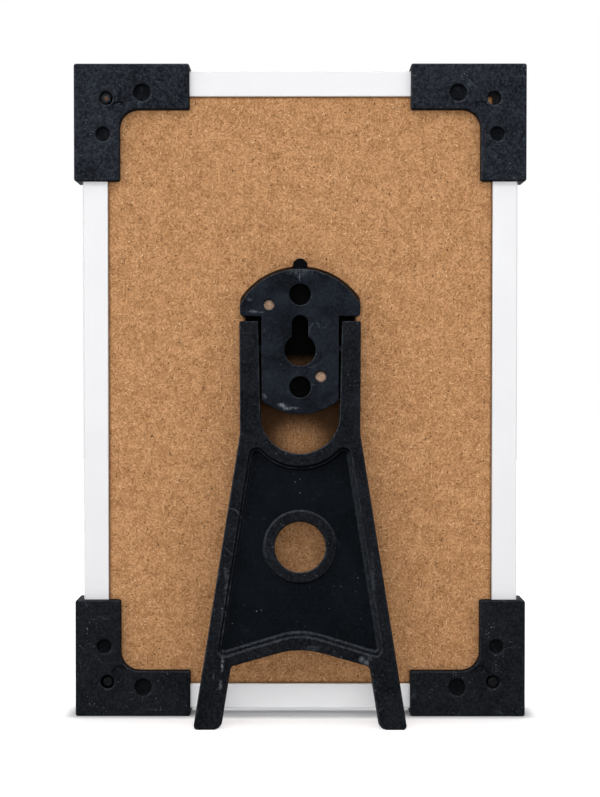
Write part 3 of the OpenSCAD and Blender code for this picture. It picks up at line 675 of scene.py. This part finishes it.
clear, tree, skin, place = new_finish("clear glass", roughness=0.03, specular=0.5)
skin["Transmission Weight"].default_value = 1.0
skin["IOR"].default_value = 1.5
film = noise_of(tree, place, 60, detail=3)
tinge = mix_of(tree, band_of(tree, film, 0.3, 0.7), (0.97, 0.985, 0.98, 1), (0.955, 0.975, 0.97, 1))
plug(tree, skin["Base Color"], tinge)
plug(tree, skin["Roughness"], band_of(tree, film, 0.55, 0.8, 0.02, 0.07))
rays = node(tree, "LightPath").outputs
open_pane = node(tree, "BsdfTransparent")
pane = node(tree, "MixShader")
plug(tree, pane.inputs[0], math_of(tree, "MAXIMUM", rays["Is Shadow Ray"], rays["Is Diffuse Ray"]))
plug(tree, pane.inputs[1], tree.nodes["Principled BSDF"].outputs[0])
plug(tree, pane.inputs[2], open_pane.outputs[0])
plug(tree, tree.nodes["Material Output"].inputs["Surface"], pane.outputs[0])
print("finishes:", hardboard.name, copper.name, paper.name, clear.name)

# %% [markdown]
# ## Rounded copies of the moulded parts
#
# A CAD solid has knife edges, and a real moulding has small round ones that catch a thin line
# of light. The CAD mesh itself stays as it is. A copy is merged, its flat triangles are joined
# into whole faces, and the bmesh bevel operator rounds the edges between faces that meet
# steeply. Steps too shallow for the radius are left sharp, because a bevel wider than its
# face folds over. The new faces are marked for the finishes.

# %% Choose the edges to round
def steep_edges(bm, radius, least_angle, hidden_side):
    chosen = []
    for e in bm.edges:
        if len(e.link_faces) != 2 or e.calc_face_angle(0) < least_angle:
            continue
        if hidden_side and any(face.normal.dot(hidden_side) > 0.95 for face in e.link_faces):
            continue
        start = e.verts[0].co
        along = (e.verts[1].co - start).normalized()
        rooms = []
        for face in e.link_faces:
            rays = [v.co - start for v in face.verts]
            rooms.append(max((ray - along * ray.dot(along)).length for ray in rays))
        if min(rooms) > radius * 2.1:
            chosen.append(e)
    return chosen


# %% [markdown]
# Where an outline turns more tightly than the edge radius, the bevel leaves a tiny knot in the
# large flat face beside it. A knot is found as two sides of the face that cross within a few
# corners of each other, and its corners are drawn together into one. Which knots go first
# decides the shape, so nothing here may follow an order that changes from run to run. The moved
# corners are kept in a list, as a set has no fixed order. The bevel always leaves the faces in
# the same order, but the merge doesn't, so from the second pass on they are sorted by place.

# %% Untangle small knots
def knots_of(face, reach=12):
    flat = face.normal.rotation_difference(Vector((0, 0, 1)))
    corners = [(flat @ v.co / MM).to_2d() for v in face.verts]
    count = len(corners)
    found = []
    for i in range(count):
        for step in range(2, min(reach, count - 2) + 1):
            j = (i + step) % count
            side = corners[i], corners[(i + 1) % count]
            other = corners[j], corners[(j + 1) % count]
            if intersect_line_line_2d(*side, *other):
                found.append([face.verts[(i + k) % count] for k in range(1, step + 1)])
    return found


def corner_places(face):
    return sorted(tuple(v.co) for v in face.verts)


def untangle(bm):
    for attempt in range(6):
        bm.normal_update()
        moved = []
        large = [face for face in bm.faces if len(face.verts) > 4]
        if attempt > 0:
            large.sort(key=corner_places, reverse=True)
        for face in large:
            for group in knots_of(face):
                if not any(v in moved for v in group):
                    middle = sum((v.co for v in group), Vector()) / len(group)
                    for v in group:
                        v.co = middle
                        moved.append(v)
        if not moved:
            return
        bmesh.ops.remove_doubles(bm, verts=moved, dist=0.0001 * MM)


# %% [markdown]
# A copy rides on its node's body and takes the node's place. Its edge faces carry how far they
# face up, where the finishes paint a highlight, or down, where they paint shade.

# %% Rounded copy helper
LIT_SIDE = Vector((0.35, 0.12, 0.92))


def rounded_copy(name, radius, finishes, sort_faces=None, hidden_side=None):
    bm = bmesh.new()
    bm.from_mesh(nodes[name].data)
    edge_light_and_shade = bm.faces.layers.float.new("painted edge light and shade")
    bmesh.ops.remove_doubles(bm, verts=bm.verts, dist=0.02 * MM)
    bmesh.ops.dissolve_limit(bm, angle_limit=math.radians(0.4), use_dissolve_boundaries=False,
                             verts=bm.verts, edges=bm.edges)
    bm.normal_update()
    if sort_faces:
        sort_faces(bm)
    chosen = steep_edges(bm, radius, math.radians(35), hidden_side)
    made = bmesh.ops.bevel(bm, geom=chosen, offset=radius, offset_type="OFFSET", segments=3,
                           profile=0.5, affect="EDGES", clamp_overlap=False, loop_slide=True,
                           material=-1)
    bm.normal_update()
    # Painted light: each edge face is marked by how far it faces the lit side, up or down.
    for face in made["faces"]:
        face[edge_light_and_shade] = max(-1.0, min(1.0, face.normal.dot(LIT_SIDE) * 1.7))
    untangle(bm)
    bmesh.ops.triangulate(bm, faces=[f for f in bm.faces if len(f.verts) > 4], ngon_method="EAR_CLIP")
    mesh = bpy.data.meshes.new(name + "_rounded")
    bm.to_mesh(mesh)
    bm.free()
    for finish in finishes:
        mesh.materials.append(finish)
    mesh.shade_smooth()
    mesh.set_sharp_from_angle(angle=math.radians(38))
    piece = bpy.data.objects.new(name + "_rounded", mesh)
    flat = piece.modifiers.new("flat faces stay flat", "WEIGHTED_NORMAL")
    flat.keep_sharp = True
    flat.weight = 90
    bpy.context.scene.collection.objects.link(piece)
    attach(piece, nodes[name]["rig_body"])
    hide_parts(name)
    triangles = sum(len(p.vertices) - 2 for p in mesh.polygons)
    print(name, "edges rounded:", len(chosen), "triangles:", triangles)
    return piece


# %% [markdown]
# The caps have the largest edge radius, and the bracket is left sharp where it lies on the
# board. The leg has two finishes: its rims take the open skin, and its recess the darker web
# finish, partly its own tone and partly painted shade. The recess is what can be reached from the
# web without climbing onto a rim. The leg stands open, so heights on it are measured along its
# own outward direction from the hinge.

# %% Rounded caps, bracket and leg
CAPS = [f"corner_cap_{level}_{side}" for level in ("top", "bottom") for side in ("left", "right")]
for cap in CAPS:
    piece = rounded_copy(cap, 0.40 * MM, [cap_black if "_top_" in cap else shaded_low_cap_black])
piece = rounded_copy("stand_bracket", 0.2 * MM, [bracket_black], hidden_side=Vector((0, -1, 0)))

HINGE = Vector(frame["joints"][0]["pos_m"])
OPEN = math.radians(8.35)
OUTWARD = Vector((0, math.cos(OPEN), math.sin(OPEN)))


def height_of(face):
    return (face.calc_center_median() - HINGE).dot(OUTWARD)


def sort_leg_faces(bm):
    recess = set()
    front = [f for f in bm.faces if f.normal.dot(OUTWARD) > 0.99 and height_of(f) < 1.5 * MM]
    while front:
        face = front.pop()
        if face in recess:
            continue
        recess.add(face)
        for e in face.edges:
            for other in e.link_faces:
                rim = other.normal.dot(OUTWARD) > 0.9 and height_of(other) > 2.3 * MM
                back = other.normal.dot(OUTWARD) < -0.9
                if not rim and not back and other not in recess:
                    front.append(other)
    for face in recess:
        raised = height_of(face) > 0.4 * MM
        face.material_index = 0 if raised and face.normal.dot(OUTWARD) > 0.9 else 1
    print("recess faces:", len(recess))


piece = rounded_copy("stand_leg", 0.3 * MM, [leg_black, web_black], sort_faces=sort_leg_faces)

# %% [markdown]
# ## Finishes on the CAD nodes that stay
#
# The other nodes already have the right shape, so they only get their finish in their own
# material slots.

# %% Finishes on CAD nodes
def finish_node(name, finish):
    mesh = nodes[name].data
    for slot in range(len(mesh.materials)):
        mesh.materials[slot] = finish
    if not mesh.materials:
        mesh.materials.append(finish)


STRIP_FINISHES = {"strip_left": white_upright, "strip_right": white_upright,
                  "strip_top": white_level, "strip_bottom": painted_light_white_low}
for name in nodes:
    if name.startswith("strip_"):
        finish_node(name, STRIP_FINISHES[name])
    elif name.startswith("corner_key_"):
        finish_node(name, dotted_key if name == "corner_key_top_right" else key_black)
    elif name.startswith("rivet_"):
        finish_node(name, copper)
finish_node("backing_board", hardboard)
finish_node("photo_print", paper)
finish_node("glazing", clear)
print("strips finished:", len(STRIP_FINISHES))

# %% [markdown]
# ## Floor
#
# The photo has a white sweep with soft shadows close under the caps and feet. The floor is a
# white sheet whose look fades to plain white a hand's width away. Close to the object it turns
# white quickly, as in the photo, where the shadow is a narrow line under the caps, the feet and
# the lower strip. How far a place is from the object is measured from the frame's own footprint.

# %% Floor
bm = bmesh.new()
bmesh.ops.create_grid(bm, x_segments=2, y_segments=2, size=1.2)
floor_mesh = bpy.data.meshes.new("floor")
bm.to_mesh(floor_mesh)
bm.free()
floor = bpy.data.objects.new("floor", floor_mesh)
bpy.context.scene.collection.objects.link(floor)

white_sweep, tree, skin, place = new_finish("white sweep", roughness=0.8, specular=0.1)
skin["Base Color"].default_value = (0.86, 0.86, 0.865, 1)
spot = node(tree, "SeparateXYZ")
plug(tree, spot.inputs[0], place)
FOOTPRINT_HALF = 0.056
FOOTPRINT_BACK = -0.0034
FOOTPRINT_FRONT = -0.0136
sideways = math_of(tree, "ABSOLUTE", spot.outputs[0])
beside = math_of(tree, "MAXIMUM", math_of(tree, "SUBTRACT", sideways, FOOTPRINT_HALF), 0.0)
before = math_of(tree, "MAXIMUM", math_of(tree, "SUBTRACT", spot.outputs[1], FOOTPRINT_BACK),
                 math_of(tree, "SUBTRACT", FOOTPRINT_FRONT, spot.outputs[1]))
before = math_of(tree, "MAXIMUM", before, 0.0)
reach = math_of(tree, "SQRT", math_of(tree, "ADD", math_of(tree, "MULTIPLY", beside, beside),
                                      math_of(tree, "MULTIPLY", before, before)))
fade = band_of(tree, reach, 0.06, 0.20)
rays = node(tree, "LightPath").outputs
seen = math_of(tree, "MAXIMUM", rays["Is Camera Ray"],
               math_of(tree, "MAXIMUM", rays["Is Glossy Ray"], rays["Is Transmission Ray"]))
glow = node(tree, "Emission")
glow.inputs["Color"].default_value = (1, 1, 1, 1)
blend = node(tree, "MixShader")
plug(tree, blend.inputs[0], math_of(tree, "MULTIPLY", fade, seen))
plug(tree, blend.inputs[1], tree.nodes["Principled BSDF"].outputs[0])
plug(tree, blend.inputs[2], glow.outputs[0])
# Painted light: close to the object the floor glows to the camera, more with distance from the footprint, so
# that the shadow there stays a narrow line.
painted_floor_glow = node(tree, "Emission")
painted_floor_glow.inputs["Color"].default_value = (1, 1, 1, 1)
near_glow = math_of(tree, "ADD", band_of(tree, reach, 0.0, 0.0045, 0.0, 0.46),
               band_of(tree, reach, 0.003, 0.016, 0.0, 0.12))
plug(tree, painted_floor_glow.inputs["Strength"], math_of(tree, "MULTIPLY", rays["Is Camera Ray"], near_glow))
total = node(tree, "AddShader")
plug(tree, total.inputs[0], blend.outputs[0])
plug(tree, total.inputs[1], painted_floor_glow.outputs[0])
plug(tree, tree.nodes["Material Output"].inputs["Surface"], total.outputs[0])
floor_mesh.materials.append(white_sweep)
print("floor finish:", white_sweep.name)

# %% [markdown]
# ## World and light
#
# The world is white to the camera, to gloss and to glass, so the floor's edge doesn't show. The
# light is six large soft boxes: a high and a low one in front of the stand side, one at each
# side, one above and one for the picture side. All of them face a point low on the object.

# %% World and soft boxes
world = bpy.data.worlds.new("white room")
bpy.context.scene.world = world
world.use_nodes = True
tree = world.node_tree
rays = node(tree, "LightPath").outputs
sky = tree.nodes["Background"]
sky.inputs["Color"].default_value = (1, 1, 1, 1)
seen = math_of(tree, "MAXIMUM", rays["Is Camera Ray"],
               math_of(tree, "MAXIMUM", rays["Is Glossy Ray"], rays["Is Transmission Ray"]))
plug(tree, sky.inputs["Strength"], band_of(tree, seen, 0.0, 1.0, 0.165, 1.0))

SOFT_BOXES = [
    # name, place, size across and up, power in watts
    ("high_box", (0.08, 1.28, 0.98), (1.60, 0.75), 9.9),
    ("front_box", (0.0, 1.10, 0.10), (0.80, 0.40), 4.2),
    ("left_box", (0.95, 0.80, 0.26), (0.60, 0.80), 2.6),
    ("right_box", (-0.95, 0.80, 0.26), (0.60, 0.80), 2.2),
    ("roof_box", (0.0, 0.10, 1.25), (1.4, 1.1), 3.8),
    ("picture_side_box", (0.0, -0.90, 1.10), (1.0, 0.6), 8.0),
]
AIM = Vector((0, 0, 0.08))
for name, place, size, power in SOFT_BOXES:
    data = bpy.data.lights.new(name, "AREA")
    data.shape = "RECTANGLE"
    data.size, data.size_y = size
    data.energy = power
    lamp = bpy.data.objects.new(name, data)
    lamp.location = place
    lamp.rotation_euler = (Vector(place) - AIM).to_track_quat("Z", "Y").to_euler()
    bpy.context.scene.collection.objects.link(lamp)
bpy.context.scene.view_settings.view_transform = "Standard"
print("soft boxes:", len(SOFT_BOXES))
